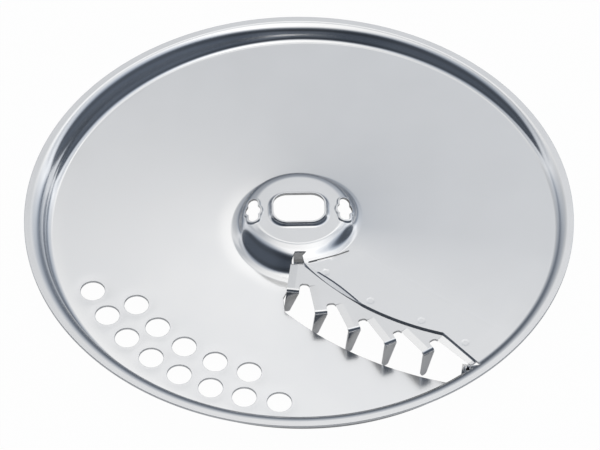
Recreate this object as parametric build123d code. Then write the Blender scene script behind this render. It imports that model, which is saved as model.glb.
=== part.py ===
from build123d import *
from math import acos, cos, degrees, radians, sin, sqrt, tan
import os

# Sheet and rim, in millimetres
SHEET = 0.8                # thickness of the pressed steel
RIM_RADIUS = 87.5          # outside of the rim flange
FLANGE_WIDTH = 1.8         # flat part of the flange
RIM_SHOULDER = 4.2         # bend from the flange into the rim wall
RIM_FOOT = 2.6             # bend from the rim wall into the plate
WALL_SLOPE = 78.0          # steepest slope of the pressed walls, degrees
BEND_SHARE = 0.9           # share of a low wall that its two bends may take

# Hub
HUB_RISE = 2.5             # hub top above the rim flange
HUB_TOP_RADIUS = 13.8      # flat top of the hub
HUB_SHOULDER = 5.0         # bend from the hub top into its wall
HUB_FOOT = 2.8             # bend from the hub wall into the plate

# Plate that falls from the blade seat round to the lip
SEAT_DEPTH = 0.8           # blade seat below the rim flange
RIM_DROP = 10.4            # fall from the seat to the lip, along the rim
HUB_DROP = 8.3             # the same fall, along the hub
RAMP_START = -40.0         # azimuth where the flat seat ends and the fall begins
RAMP_EASE = 30.0           # degrees over which the fall starts gently
SECTION_STEP = 10.0        # degrees between the profiles of the pressed plate
HUB_SEAM = -90.0           # azimuth where the seat side and the lip side meet in the hub
RIM_SEAM = 310.0           # azimuth where they meet in the rim flange

# Blade: cutting edges in steps, each ending in a divider that is bent down
BLADE_SHEET = 0.8
DIVIDERS = 5
DIVIDER_RADIUS = 29.4      # circle that the innermost divider follows
DIVIDER_PITCH = 9.6        # from one such circle to the next
BLADE_START = -98.6        # azimuth of the innermost tooth tip
TOOTH_STEP = 7.5           # each tooth stands this much behind the one inside it
DIVIDER_WIDTH = 3.9        # along the bend
BEND_RADIUS = 1.2          # outside of the bend
TIP_WIDTH = 1.8            # at the lower end
TIP_LEAD = 1.0             # lower end ahead of the bend
TIP_HEIGHT = 0.3           # lower end above the lowest level of the plate
TIP_ROUND = 0.8
NOTCH_WIDTH = 2.7          # relief beside each bend
NOTCH_DEPTH = 2.2
NOTCH_CORNER = 1.1
BEVEL_WIDTH = 2.4          # ground band along each cutting edge
BEVEL_LAND = 0.15          # thickness left at the cutting edge
SEAT_OVERLAP = 7.0         # blade strip under the plate
BACK_START = 0.12          # share of the plate edge where the strip's back begins
BLADE_PLAY = 2.4           # between the outer end of the strip and the end of the opening
TAB_END = 0.8              # inner end of the strip inside the circle of the hub's flat top
TAB_WIDTH = 3.1            # tab that reaches through the hub wall
TAB_SHOULDER = 3.05        # the strip widens to this, outside the hub wall
TAB_SHOULDER_OUT = 5.4     # beyond the hub's flat top
STRIP_CORNER = 1.0

# Opening in front of the blade
LIP_GAPS = (4.6, 3.1, 4.1) # lip beyond the first, middle and last tooth tip
SIDE_PATH = ((5.6, 28.0), (5.0, 34.0))   # side next to the hub: across and out from the axis
EDGE_SETBACK = 2.9         # plate edge behind the last cutting edge, at its inner end
EDGE_END_SETBACK = 2.1     # and at its outer end
EDGE_SAG = 4.1             # bow of the plate edge
EDGE_HUB = (1.3, 5.9)      # inner end of the plate edge: across, and out from the hub's flat top
TEAR_TOP = (1.6, 1.9)      # cut in the hub wall at its top: to the lip side and to the seat side
TEAR_LEFT_PATH = ((2.7, 4.6), (2.9, 8.7))   # its lip side further down, out from the hub's flat top
TEAR_RIGHT = (0.65, 3.9)   # and its seat side
TEAR_DEPTH = 0.6           # share of the hub's shoulder that stays above the cut
SLIT_WIDTH = 0.5           # slit that frees the plate from the foot of the hub
SLIT_PATH = ((5.8, -82.0), (5.8, -64.0), (7.6, -44.0))   # out from the hub's flat top, and azimuth

# Weld marks over the blade strip
WELD_WIDTH = 2.8
WELD_DEPTH = 0.06
WELD_SETBACK = 2.5                # behind the plate edge
WELD_PLACES = (0.14, 0.5, 0.85)   # shares of the bowed edge

# Drive slot, pin holes and drain holes
SLOT_LENGTH = 16.3
SLOT_WIDTH = 11.9
SLOT_CORNER = 4.5
COLLAR_RISE = 1.5          # the slot's edge is turned up into a collar
COLLAR_WALL = 0.6          # drawn a little thinner than the sheet
COLLAR_FOOT = 1.35         # bend outside the collar
PIN_SPACING = 29.0
PIN_HOLE = 4.6
PIN_RELIEF_LENGTH = 9.2
PIN_RELIEF_WIDTH = 3.0
DRAIN_HOLE = 7.8
DRAIN_MIDDLE = 231.8       # azimuth of the middle of both rows
DRAIN_ROWS = ((70.0, 8, 9.12), (60.0, 5, 10.95))   # radius, holes, degrees between holes

# Levels
RIM_TOP = SEAT_DEPTH + RIM_DROP + SHEET
HUB_TOP = RIM_TOP + HUB_RISE
SEAT_TOP = RIM_TOP - SEAT_DEPTH
BLADE_TOP = SEAT_TOP - SHEET

# Sizes that follow from the bends and marks
CORE_RADIUS = 0.86 * HUB_TOP_RADIUS     # flat middle of the hub
SHOULDER_START = RIM_RADIUS - FLANGE_WIDTH
TEAR_RADIUS = HUB_TOP_RADIUS + TEAR_DEPTH * HUB_SHOULDER
WELD_BALL = (WELD_WIDTH ** 2 / 4 + WELD_DEPTH ** 2) / (2 * WELD_DEPTH)
FAR = 2 * RIM_RADIUS                    # beyond everything in plan
MARGIN = 3.0                            # room beyond a divider when it is trimmed


def polar(radius, azimuth):
    return Vector(radius * cos(radians(azimuth)), radius * sin(radians(azimuth)))


def beside_hub(across, out):
    """Point on the blade's side of the hub: across the axis, and out from the hub's flat top."""
    return Vector(across, -HUB_TOP_RADIUS - out)


def inwards(direction):
    """Unit vector to the blade's side of an edge that runs outwards."""
    return direction.normalized().rotate(Axis.Z, 90)


def run_to_radius(point, direction, radius):
    """Where a line from a point inside a circle about the axis meets that circle."""
    step = direction.normalized()
    along = point.dot(step)
    return point + step * (sqrt(along ** 2 - point.dot(point) + radius ** 2) - along)


def wall_slope(height, bends):
    """Slope of a pressed wall: gentler where the wall is too low for both of its bends."""
    bend_height = min(BEND_SHARE * height, bends * (1 - cos(radians(WALL_SLOPE))))
    return acos(1 - bend_height / bends)


# The opening ends in the rim's shoulder, where the seat side and the lip side still share one surface
OPENING_END = SHOULDER_START - 0.98 * RIM_SHOULDER * sin(wall_slope(SEAT_DEPTH, RIM_SHOULDER + RIM_FOOT))
BLADE_END = OPENING_END - BLADE_PLAY


class Tooth:
    """Plan of one step of the blade: the bend of its divider and the notch beside it."""

    def __init__(self, radius, azimuth):
        self.back = polar(1, azimuth + 90)
        self.out = polar(1, azimuth)
        self.tip = polar(radius, azimuth)
        self.bend_end = self.tip + self.back * DIVIDER_WIDTH
        self.notch_near = self.bend_end - self.out * NOTCH_DEPTH
        self.notch_far = self.notch_near + self.back * NOTCH_WIDTH


def teeth():
    """All steps from the hub outwards, and a point of the plain edge beyond the last of them."""
    steps = []
    radius = DIVIDER_RADIUS
    azimuth = BLADE_START
    for _ in range(DIVIDERS):
        steps.append(Tooth(radius, azimuth))
        azimuth += degrees(TOOTH_STEP / radius)
        radius += DIVIDER_PITCH
    return steps, polar(radius, azimuth)


# Plan of the blade's teeth and of the plate edge behind them
TEETH, LAST_POINT = teeth()
LAST = TEETH[-1]
BLADE_CORNER = run_to_radius(LAST.notch_far, LAST_POINT - LAST.notch_far, BLADE_END)
EDGE_START = beside_hub(*EDGE_HUB)
EDGE_CORNER = LAST.notch_far + LAST.back * EDGE_SETBACK
EDGE_STRAIGHT = BLADE_CORNER + LAST.back * EDGE_END_SETBACK - EDGE_CORNER
PLATE_EDGE = SagittaArc(EDGE_START, EDGE_CORNER, -EDGE_SAG)
TAB_CORNER = beside_hub(-TAB_SHOULDER, TAB_SHOULDER_OUT)


def fall(azimuth):
    """Share of the plate's fall that is reached at an azimuth, from 0 at the seat to 1 at the rim seam."""
    turned = azimuth - RAMP_START
    eased = turned ** 2 / (2 * RAMP_EASE) if turned < RAMP_EASE else turned - RAMP_EASE / 2
    return eased / (RIM_SEAM - RAMP_START - RAMP_EASE / 2)


def section(share, azimuth):
    """Upright cut through the sheet from the rim to the hub's flat middle, at a share of the fall."""
    rim_height = SEAT_DEPTH + RIM_DROP * share
    hub_height = HUB_RISE + SEAT_DEPTH + HUB_DROP * share
    rim_slope = wall_slope(rim_height, RIM_SHOULDER + RIM_FOOT)
    hub_slope = wall_slope(hub_height, HUB_SHOULDER + HUB_FOOT)
    rim_corner = SHOULDER_START - RIM_SHOULDER * tan(rim_slope / 2)
    hub_corner = HUB_TOP_RADIUS + HUB_SHOULDER * tan(hub_slope / 2)
    upper = FilletPolyline(
        (RIM_RADIUS, RIM_TOP),
        (rim_corner, RIM_TOP),
        (rim_corner - rim_height / tan(rim_slope), RIM_TOP - rim_height),
        (hub_corner + hub_height / tan(hub_slope), HUB_TOP - hub_height),
        (hub_corner, HUB_TOP),
        (CORE_RADIUS, HUB_TOP),
        radius=(RIM_SHOULDER, RIM_FOOT, HUB_FOOT, HUB_SHOULDER),
    )
    outline = upper.wire().offset_2d(SHEET, side=Side.LEFT)
    return Rot(0, 0, azimuth) * (Plane.XZ * make_face(outline))


def through(sketch):
    """Cutting tool that passes right through the disc."""
    return Pos(0, 0, -HUB_TOP) * extrude(sketch, amount=3 * HUB_TOP)


def lip_side_cut():
    """Plan of what is cut from the falling plate: opening, cut in the hub wall and the seat's own place."""
    gapped = zip((TEETH[0], TEETH[DIVIDERS // 2], LAST), LIP_GAPS)
    lip = ThreePointArc(*[tooth.tip + tooth.out * gap for tooth, gap in gapped])
    inside_lip = Pos(lip.arc_center) * Circle(lip.radius)
    seat_place = make_face(Polyline((0, 0), (0, -FAR), polar(FAR, RIM_SEAM), close=True))
    side = [beside_hub(-across, out) for across, out in TEAR_LEFT_PATH]
    side += [(-across, -out) for across, out in SIDE_PATH]
    side_cut = make_face(Polyline((0, -TEAR_RADIUS), (-TEAR_TOP[0], -TEAR_RADIUS), *side, (0, -FAR), close=True))
    return (seat_place + side_cut) & inside_lip & Circle(OPENING_END)


def seat_side_cut():
    """Plan of what is cut from the blade seat: all that lies ahead of the plate's edge."""
    edge_end = run_to_radius(EDGE_CORNER, EDGE_STRAIGHT, OPENING_END)
    ahead = Polyline(
        EDGE_CORNER,
        edge_end,
        polar(OPENING_END, RIM_SEAM),
        polar(FAR, RIM_SEAM),
        (0, -FAR),
        (0, -TEAR_RADIUS),
        (TEAR_TOP[1], -TEAR_RADIUS),
        beside_hub(*TEAR_RIGHT),
        EDGE_START,
    )
    return make_face(PLATE_EDGE + ahead)


def hub_core():
    """Flat middle of the hub with the drive slot, whose edge is turned up."""
    slot = RectangleRounded(SLOT_LENGTH, SLOT_WIDTH, SLOT_CORNER)
    flat = extrude(Circle(CORE_RADIUS), -SHEET)
    core = flat + extrude(offset(slot, COLLAR_WALL), COLLAR_RISE)
    foot = core.faces().filter_by(Plane.XY).sort_by(Axis.Z)[1].inner_wires()[0].edges()
    core = fillet(foot, COLLAR_FOOT) - extrude(slot, amount=COLLAR_RISE, both=True)
    below = core.faces().sort_by(Axis.Z)[0].inner_wires()[0].edges()
    return Pos(0, 0, HUB_TOP) * fillet(below, COLLAR_FOOT + SHEET)


def pin_holes():
    """Plan of the two pin holes with their reliefs."""
    holes = Sketch()
    for side in (-1, 1):
        relief = Rot(0, 0, 90) * SlotOverall(PIN_RELIEF_LENGTH, PIN_RELIEF_WIDTH)
        holes += Pos(side * PIN_SPACING / 2, 0) * (Circle(PIN_HOLE / 2) + relief)
    return holes


def drain_holes():
    """Plan of the drain holes, in two rows about the axis."""
    holes = Sketch()
    for radius, count, pitch in DRAIN_ROWS:
        for i in range(count):
            azimuth = DRAIN_MIDDLE + (i - (count - 1) / 2) * pitch
            holes += Pos(polar(radius, azimuth)) * Circle(DRAIN_HOLE / 2)
    return holes


def hub_slit():
    """Plan of the slit along the foot of the hub."""
    places = [polar(HUB_TOP_RADIUS + out, azimuth) for out, azimuth in SLIT_PATH]
    return SlotArc(ThreePointArc(*places), SLIT_WIDTH)


def weld_marks():
    """Shallow dimples behind the plate's edge: along its bow and on its straight outer end."""
    places = [PLATE_EDGE @ share + inwards(PLATE_EDGE % share) * WELD_SETBACK for share in WELD_PLACES]
    places.append(EDGE_CORNER + EDGE_STRAIGHT / 2 + inwards(EDGE_STRAIGHT) * WELD_SETBACK)
    middle = SEAT_TOP + WELD_BALL - WELD_DEPTH
    return [Pos(place.X, place.Y, middle) * Sphere(WELD_BALL) for place in places]


def disc_plate():
    """The pressed sheet: a plate that falls round the hub, joined to the flat blade seat."""
    steps = round((RIM_SEAM - RAMP_START) / SECTION_STEP)
    azimuths = [RAMP_START + (RIM_SEAM - RAMP_START) * i / steps for i in range(steps + 1)]
    falling = loft([section(fall(azimuth), azimuth) for azimuth in azimuths])
    seat = revolve(section(0, HUB_SEAM), axis=Axis.Z, revolution_arc=RAMP_START - HUB_SEAM)
    falling -= through(lip_side_cut())
    seat -= through(seat_side_cut())
    plate = falling.fuse(seat, hub_core(), tol=1e-4)
    return plate - through(pin_holes() + drain_holes() + hub_slit()) - weld_marks()


def blade_strip():
    """The flat strip: a tab into the hub, the stepped front edge and the part under the plate."""
    tab_left = -TEAR_TOP[0]
    tab_right = tab_left + TAB_WIDTH
    points = [beside_hub(tab_right, -TAB_END), beside_hub(tab_left, -TAB_END)]
    points += [beside_hub(tab_left, TAB_SHOULDER_OUT), TAB_CORNER]
    corners = [STRIP_CORNER, STRIP_CORNER, 0, 0]
    for tooth in TEETH:
        points += [tooth.tip, tooth.bend_end, tooth.notch_near, tooth.notch_far]
        corners += [0, 0, NOTCH_CORNER, NOTCH_CORNER]
    back_corner = EDGE_CORNER + inwards(EDGE_STRAIGHT) * SEAT_OVERLAP
    back_end = run_to_radius(back_corner, EDGE_STRAIGHT, BLADE_END)
    back_start = PLATE_EDGE @ BACK_START + inwards(PLATE_EDGE % BACK_START) * SEAT_OVERLAP
    points += [BLADE_CORNER, back_end, back_corner, back_start, (tab_right, -TEAR_RADIUS)]
    corners += [STRIP_CORNER, STRIP_CORNER, 0, STRIP_CORNER, 0]
    outline = make_face(FilletPolyline(*points, radius=corners, close=True))
    return Pos(0, 0, BLADE_TOP) * extrude(outline, -BLADE_SHEET)


def bevel(start, end):
    """Wedge that is ground off below a cutting edge."""
    slope = (BLADE_SHEET - BEVEL_LAND) / BEVEL_WIDTH
    run = end - start
    place = Plane((start.X, start.Y, BLADE_TOP - BLADE_SHEET), x_dir=inwards(run), z_dir=run)
    wedge = Polyline((-1, -slope), (-1, slope * (BEVEL_WIDTH + 1)), (BEVEL_WIDTH + 1, -slope), close=True)
    return extrude(place * make_face(wedge), amount=run.length, dir=run.normalized())


def divider(tooth):
    """Finger that is bent down from the strip: a bent sheet, trimmed to a tapering side view."""
    length = BLADE_TOP - TIP_HEIGHT
    top = Vector(tooth.tip.X, tooth.tip.Y, BLADE_TOP)
    outside = FilletPolyline((-1, 0), (BEND_RADIUS, 0), (BEND_RADIUS, length), radius=BEND_RADIUS)
    sheet = make_face(outside.wire().offset_2d(BLADE_SHEET, side=Side.LEFT))
    bend_place = Plane(top - tooth.back * MARGIN, x_dir=tooth.out, z_dir=tooth.back)
    bent = extrude(bend_place * sheet, amount=DIVIDER_WIDTH + 2 * MARGIN, dir=tooth.back)
    side = FilletPolyline(
        (0, 0),
        (0, -BEND_RADIUS),
        (-TIP_LEAD, -length),
        (TIP_WIDTH - TIP_LEAD, -length),
        (DIVIDER_WIDTH, -BEND_RADIUS),
        (DIVIDER_WIDTH, 0),
        radius=(0, 0, TIP_ROUND, TIP_ROUND, 0, 0),
        close=True,
    )
    side_place = Plane(top - tooth.out * MARGIN, x_dir=tooth.back, z_dir=tooth.out)
    trim = extrude(side_place * make_face(side), amount=2 * MARGIN, dir=tooth.out)
    return bent & trim


def chip_blade():
    """The stepped blade: ground edges and a divider at every step."""
    blade = blade_strip()
    starts = [TAB_CORNER] + [tooth.notch_far for tooth in TEETH]
    ends = [tooth.tip for tooth in TEETH] + [BLADE_CORNER]
    for start, end in zip(starts, ends):
        blade -= bevel(start, end)
    for tooth in TEETH:
        blade += divider(tooth)
    return blade


def main():
    """Both solids stand in one frame: axis on Z, lowest point at zero."""
    plate = disc_plate()
    stand = Pos(0, 0, -plate.bounding_box().min.Z)
    os.makedirs("parts", exist_ok=True)
    export_step(stand * plate, "parts/disc_plate.step")
    export_step(stand * chip_blade(), "parts/chip_blade.step")


main()
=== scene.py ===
import bpy
import numpy as np
from math import acos, atan2, ceil, cos, degrees, pi, radians, sin, sqrt, tan
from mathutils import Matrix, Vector, kdtree
from mathutils.geometry import delaunay_2d_cdt


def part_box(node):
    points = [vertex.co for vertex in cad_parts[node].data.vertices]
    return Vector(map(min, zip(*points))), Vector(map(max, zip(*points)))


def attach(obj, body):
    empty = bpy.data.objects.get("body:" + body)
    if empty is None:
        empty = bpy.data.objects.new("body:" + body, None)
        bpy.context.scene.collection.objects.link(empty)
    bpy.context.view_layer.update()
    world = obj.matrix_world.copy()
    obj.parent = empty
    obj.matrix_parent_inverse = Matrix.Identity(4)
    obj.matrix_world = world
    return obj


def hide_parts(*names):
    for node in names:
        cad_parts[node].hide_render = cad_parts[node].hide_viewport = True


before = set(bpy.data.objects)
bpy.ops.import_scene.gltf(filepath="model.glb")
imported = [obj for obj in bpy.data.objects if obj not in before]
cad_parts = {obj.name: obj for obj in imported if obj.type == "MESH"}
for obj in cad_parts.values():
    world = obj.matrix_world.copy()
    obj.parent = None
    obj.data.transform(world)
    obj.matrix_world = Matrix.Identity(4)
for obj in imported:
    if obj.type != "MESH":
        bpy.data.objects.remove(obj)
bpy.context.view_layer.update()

# Pressed sheet, in millimetres
SHEET = 0.8
RIM_RADIUS = 87.5
FLANGE_WIDTH = 1.8
RIM_SHOULDER = 4.2
RIM_FOOT = 2.6
WALL_SLOPE = 78.0
BEND_SHARE = 0.9
HUB_RISE = 2.5
HUB_TOP_RADIUS = 13.8
HUB_SHOULDER = 5.0
HUB_FOOT = 2.8
SEAT_DEPTH = 0.8
RIM_DROP = 10.4
HUB_DROP = 8.3
RAMP_START = -40.0
RAMP_EASE = 30.0
RIM_SEAM = 310.0
TEAR_SEAM = 270.0

# Blade
BLADE_SHEET = 0.8
DIVIDERS = 5
DIVIDER_RADIUS = 29.4
DIVIDER_PITCH = 9.6
BLADE_START = -98.6
TOOTH_STEP = 7.5
DIVIDER_WIDTH = 3.9
BEND_RADIUS = 1.2
TIP_WIDTH = 1.8
TIP_LEAD = 1.0
TIP_ROUND = 0.8
NOTCH_WIDTH = 2.7
NOTCH_DEPTH = 2.2
NOTCH_CORNER = 1.1
BEVEL_WIDTH = 2.4
BEVEL_LAND = 0.15
HONE = 0.11                # the top is honed down by this much at the cutting edges
SEAT_OVERLAP = 7.0
BACK_START = 0.12
BLADE_END = 81.5
TAB_END = 13.0
TAB_LEFT = 2.1
TAB_WIDTH = 3.6
TAB_CORNER = (-3.05, -19.2)
STRIP_CORNER = 1.0
TAB_POINTS = 4             # corners of the strip's outline at the tab, and at each tooth
TOOTH_POINTS = 4

# Opening, slit and weld marks
LIP_GAPS = (4.6, 3.1, 4.1)
SIDE_PATH = ((-2.7, -18.4), (-2.9, -22.5), (-5.6, -28.0))
EDGE_SETBACK = 2.9
EDGE_END_SETBACK = 2.1
EDGE_SAG = 4.1
EDGE_HUB = (1.3, -19.7)
FACET_END = 0.48           # share of the bowed edge that is pressed down to a bright facet
FACET_WIDTH = 1.8
FACET_SLOPE = 13.0
FACET_DROP = 0.25          # step down at the back of the facet
FACET_DROP_WIDTH = 0.45
OPENING_END = 83.9
TEAR_RADIUS = 16.8
TEAR_TOP = (-1.6, 1.9)
TEAR_RIGHT = (0.65, -17.7)
SLIT_WIDTH = 0.5
SLIT_PATH = ((19.6, -82.0), (19.6, -64.0), (21.4, -44.0))
WELD_WIDTH = 2.8
WELD_DEPTH = 0.03
WELD_BORDER = 0.3          # share of the mark's width that its sloping border takes
WELD_SETBACK = 2.5
WELD_PLACES = (0.14, 0.5, 0.85)

# Drive slot, pin holes and drain holes
SLOT_LENGTH = 16.3
SLOT_WIDTH = 11.9
SLOT_CORNER = 4.5
COLLAR_RISE = 1.5
COLLAR_WALL = 0.6
COLLAR_FOOT = 1.35
PIN_SPACING = 29.0
PIN_HOLE = 4.6
PIN_RELIEF_LENGTH = 9.2
PIN_RELIEF_WIDTH = 3.0
PIN_RISE = 0.55            # the edges of the pin holes are turned up a little too
PIN_FOOT = 0.45
DRAIN_HOLE = 7.8
DRAIN_MIDDLE = 231.8
DRAIN_ROWS = ((70.0, 8, 9.12), (60.0, 5, 10.95))
DRAIN_DIP = 0.05           # the sheet sinks a little towards each drain hole
DRAIN_DIP_REACH = 1.8
EDGE_ROUND = 0.12          # broken edges of the cut sheet
EDGE_LEFT = 0.03           # the cut edge begins this far below the facet

# Shading of the hub's wall, which is softer than its surface
HUB_SOFT_RADIUS = 24.0
HUB_SOFT_SLOPE = 1.2
SEAT_SOFT_AZIMUTHS = (300.0, 345.0)
SEAT_SOFT_SLOPES = (0.35, 1.2)
PLATE_SLOPE = 0.2          # slopes of the plate itself stay as they are
STEEP = 100.0              # no limit away from the hub

# Levels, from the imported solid
MM = 0.001
HUB_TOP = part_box("disc_plate")[1][2] / MM - COLLAR_RISE
RIM_TOP = HUB_TOP - HUB_RISE
SHOULDER_START = RIM_RADIUS - FLANGE_WIDTH
STEEPEST = radians(WALL_SLOPE)
BLADE_TOP = RIM_TOP - SEAT_DEPTH - SHEET
BLADE_LOW = BLADE_TOP - BLADE_SHEET
HONED_LEVEL = BLADE_TOP - HONE
GROUND_LEVEL = BLADE_TOP - BEVEL_LAND
TIP_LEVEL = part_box("chip_blade")[0][2] / MM

# Fineness of the meshes
COLUMN_STEP = 1.0          # degrees
PROBE_STEPS = 40           # places along a column where its fall is looked up
FLANGE_STEPS = 3
BEND_STEPS = 12
WALL_STEPS = 4
PLATE_STEPS = 46
HUB_STEPS = 9
CUT_STEP = 0.6             # along the cut outlines
BREAK_STEPS = 6            # over a broken edge
COLLAR_STEPS = 5           # over each edge of a collar's rim
CLEARANCE = 0.3            # grid points stay this far from the cuts
SLOPE_STEP = 0.01          # across which slopes are taken
WELD_RINGS = (0.3, 0.6, 0.75, 0.95, 1.05)
FACET_COLUMNS = 60
FACET_SPAN = (0.02, 0.98)
FACET_ROWS = (-0.3, 0, 0.25, 0.5, 0.75, 1, 1.4)
ROUND_STEPS = 8            # steps in the corners of the blade strip
DIVIDER_STEPS = 3
TIP_STEPS = 8

# Camera, in millimetres and degrees
CAMERA_DISTANCE = 1910.6
CAMERA_HEIGHT = 48.1       # elevation
CAMERA_TURN = 1.3
LENS = 360
SENSOR = 36
CAMERA_SHIFT = (0.0018, -0.0164)

# Steel: colour, gloss at its smoothest and its roughest, and the added roughness of the flat ring
PLATE_STEEL = ((0.83, 0.83, 0.83), 0.13, 0.17, 0.08)
BLADE_STEEL = ((0.81, 0.81, 0.81), 0.12, 0.16, 0.0)
SATIN_HUB = (0.022, 0.028)         # radii in metres between which that ring begins and ends
SATIN_RIM = (0.074, 0.080)
CLOUDS = (70, 4)                   # scale and detail
CLOUD_RANGE = (0.3, 0.7)
CLOUD_SHADE = 0.97
GRAIN = (2600, 2)
GRAIN_STRENGTH = 0.06
GRAIN_HEIGHT = 0.00002

# Light of the studio over the top: degrees from the back horizon, and brightness
SKY = (
    (0, 0.10), (20, 0.22), (38, 0.60), (45, 0.75), (49, 0.79), (52, 1.06), (54, 1.28), (58, 1.22),
    (63, 0.56), (70, 1.10), (80, 1.25), (106, 1.25), (115, 0.70), (124, 0.15), (136, 0.04),
    (146, 0.05), (156, 0.13), (172, 0.14), (180, 0.08),
)
# Share of that light that is left towards the sides, and the soft light that is added there
BACK_SHARE = ((0.0, 1.0), (0.2, 0.87), (0.35, 0.80), (0.5, 0.85), (0.65, 1.0), (0.75, 1.2))
FRONT_SHARE = ((0.0, 1.0), (0.15, 1.0), (0.24, 0.70), (0.34, 0.45), (0.5, 0.32))
SIDE_GLOW = ((0.0, 0.0), (0.3, 0.02), (0.6, 0.07))
FRONT_RANGE = (0.62, 0.20)         # where the front begins
FRONT_LEAN = 0.9                   # the dark front reaches round to the sides
RIGHT_RANGE = (-0.25, 0.25)        # the right side is brighter
RIGHT_GAIN = (0.86, 1.12)
COOL = (-0.15, 0.0, 0.24)          # tint of the darker walls
COOL_BELOW = 0.9

# Floor
FLOOR_SIZE = 12.0                  # metres
FLOOR_TONE = 0.95
FLOOR_ROUGHNESS = 0.9
FLOOR_WHITE = 0.98                 # share of the floor that stays white in the disc's shadow
FLOOR_MIRRORED = 0.12              # the same where the metal mirrors the floor


def polar(radius, azimuth):
    """Point in plan at a radius and an azimuth in degrees."""
    return np.array([radius * cos(radians(azimuth)), radius * sin(radians(azimuth))])


def unit(vector):
    return vector / np.linalg.norm(vector)


def left_of(direction):
    """Unit vector to the left of a direction in plan."""
    return unit(np.array([-direction[1], direction[0]]))


def circle_through(a, b, c):
    """Centre and radius of the circle through three points."""
    rows = np.array([b - a, c - a])
    centre = np.linalg.solve(2 * rows, [b @ b - a @ a, c @ c - a @ a])
    return centre, np.linalg.norm(a - centre)


def run_to_radius(point, direction, radius):
    """Where a line from a point inside a circle about the axis meets that circle."""
    step = unit(direction)
    along = point @ step
    return point + step * (sqrt(along ** 2 - point @ point + radius ** 2) - along)


def arc(centre, radius, start, turn):
    """Points of an arc from its first point through a turn in degrees, without its last point."""
    count = max(2, ceil(abs(radians(turn)) * radius / CUT_STEP))
    first = atan2(start[1] - centre[1], start[0] - centre[0])
    angles = first + np.linspace(0, radians(turn), count, endpoint=False)
    return np.asarray(centre) + radius * np.column_stack([np.cos(angles), np.sin(angles)])


def line(start, end):
    """Points of a straight run, without its last point."""
    count = max(1, ceil(np.linalg.norm(np.subtract(end, start)) / CUT_STEP))
    shares = np.linspace(0, 1, count, endpoint=False)[:, None]
    return np.asarray(start) * (1 - shares) + np.asarray(end) * shares


def turn_between(centre, start, end, sign):
    """Turn in degrees about a centre from one point to another, in the sense of the sign."""
    first = atan2(start[1] - centre[1], start[0] - centre[0])
    last = atan2(end[1] - centre[1], end[0] - centre[0])
    return sign * (degrees(sign * (last - first)) % 360)


class Tooth:
    """Plan of one step of the blade: the bend of its divider and the notch beside it."""

    def __init__(self, radius, azimuth):
        self.radius = radius
        self.azimuth = azimuth
        self.back = polar(1, azimuth + 90)
        self.out = polar(1, azimuth)
        self.tip = polar(radius, azimuth)
        self.bend_end = self.tip + self.back * DIVIDER_WIDTH
        self.notch_near = self.bend_end - self.out * NOTCH_DEPTH
        self.notch_far = self.notch_near + self.back * NOTCH_WIDTH


class Teeth:
    """All steps of the blade, and the plate edge behind them."""

    def __init__(self):
        self.steps = []
        radius = DIVIDER_RADIUS
        azimuth = BLADE_START
        for _ in range(DIVIDERS):
            self.steps.append(Tooth(radius, azimuth))
            azimuth += degrees(TOOTH_STEP / radius)
            radius += DIVIDER_PITCH
        last = self.steps[-1]
        self.blade_corner = run_to_radius(last.notch_far, polar(radius, azimuth) - last.notch_far, BLADE_END)
        self.edge_start = np.array(EDGE_HUB)
        self.edge_corner = last.notch_far + last.back * EDGE_SETBACK
        self.edge_run = self.blade_corner + last.back * EDGE_END_SETBACK - self.edge_corner
        chord = self.edge_corner - self.edge_start
        middle = (self.edge_start + self.edge_corner) / 2 - left_of(chord) * EDGE_SAG
        self.edge_centre, self.edge_radius = circle_through(self.edge_start, middle, self.edge_corner)
        self.edge_turn = turn_between(self.edge_centre, self.edge_start, self.edge_corner, 1)

    def on_edge(self, share, setback=0.0):
        """Point at a share of the bowed plate edge, or behind it."""
        reach = self.edge_start - self.edge_centre
        azimuth = degrees(atan2(reach[1], reach[0])) + self.edge_turn * share
        return self.edge_centre + polar(self.edge_radius - setback, azimuth)


teeth = Teeth()
SEAM_RADII = [0, TEAR_RADIUS] + [tooth.radius for tooth in teeth.steps] + [OPENING_END, RIM_RADIUS]
SEAM_AZIMUTHS = [TEAR_SEAM, TEAR_SEAM] + [tooth.azimuth + 360 for tooth in teeth.steps] + [RIM_SEAM, RIM_SEAM]


def fall_share(x, y):
    """Share of the plate's fall at each point: zero on the blade seat, then growing round to the lip."""
    azimuth = np.degrees(np.arctan2(y, x)) % 360
    seat_end = RAMP_START + 360
    on_seat = (azimuth < seat_end) & (azimuth > np.interp(np.hypot(x, y), SEAM_RADII, SEAM_AZIMUTHS))
    turned = np.where(azimuth >= seat_end, azimuth - 360, azimuth) - RAMP_START
    eased = np.where(turned < RAMP_EASE, turned ** 2 / (2 * RAMP_EASE), turned - RAMP_EASE / 2)
    return np.where(on_seat, 0, eased / (RIM_SEAM - RAMP_START - RAMP_EASE / 2))


def wall_slope(height, bends):
    """Slope of a pressed wall: gentler where the wall is too low for both of its bends."""
    bend_height = np.minimum(BEND_SHARE * height, bends * (1 - cos(STEEPEST)))
    return np.arccos(1 - bend_height / bends)


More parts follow.
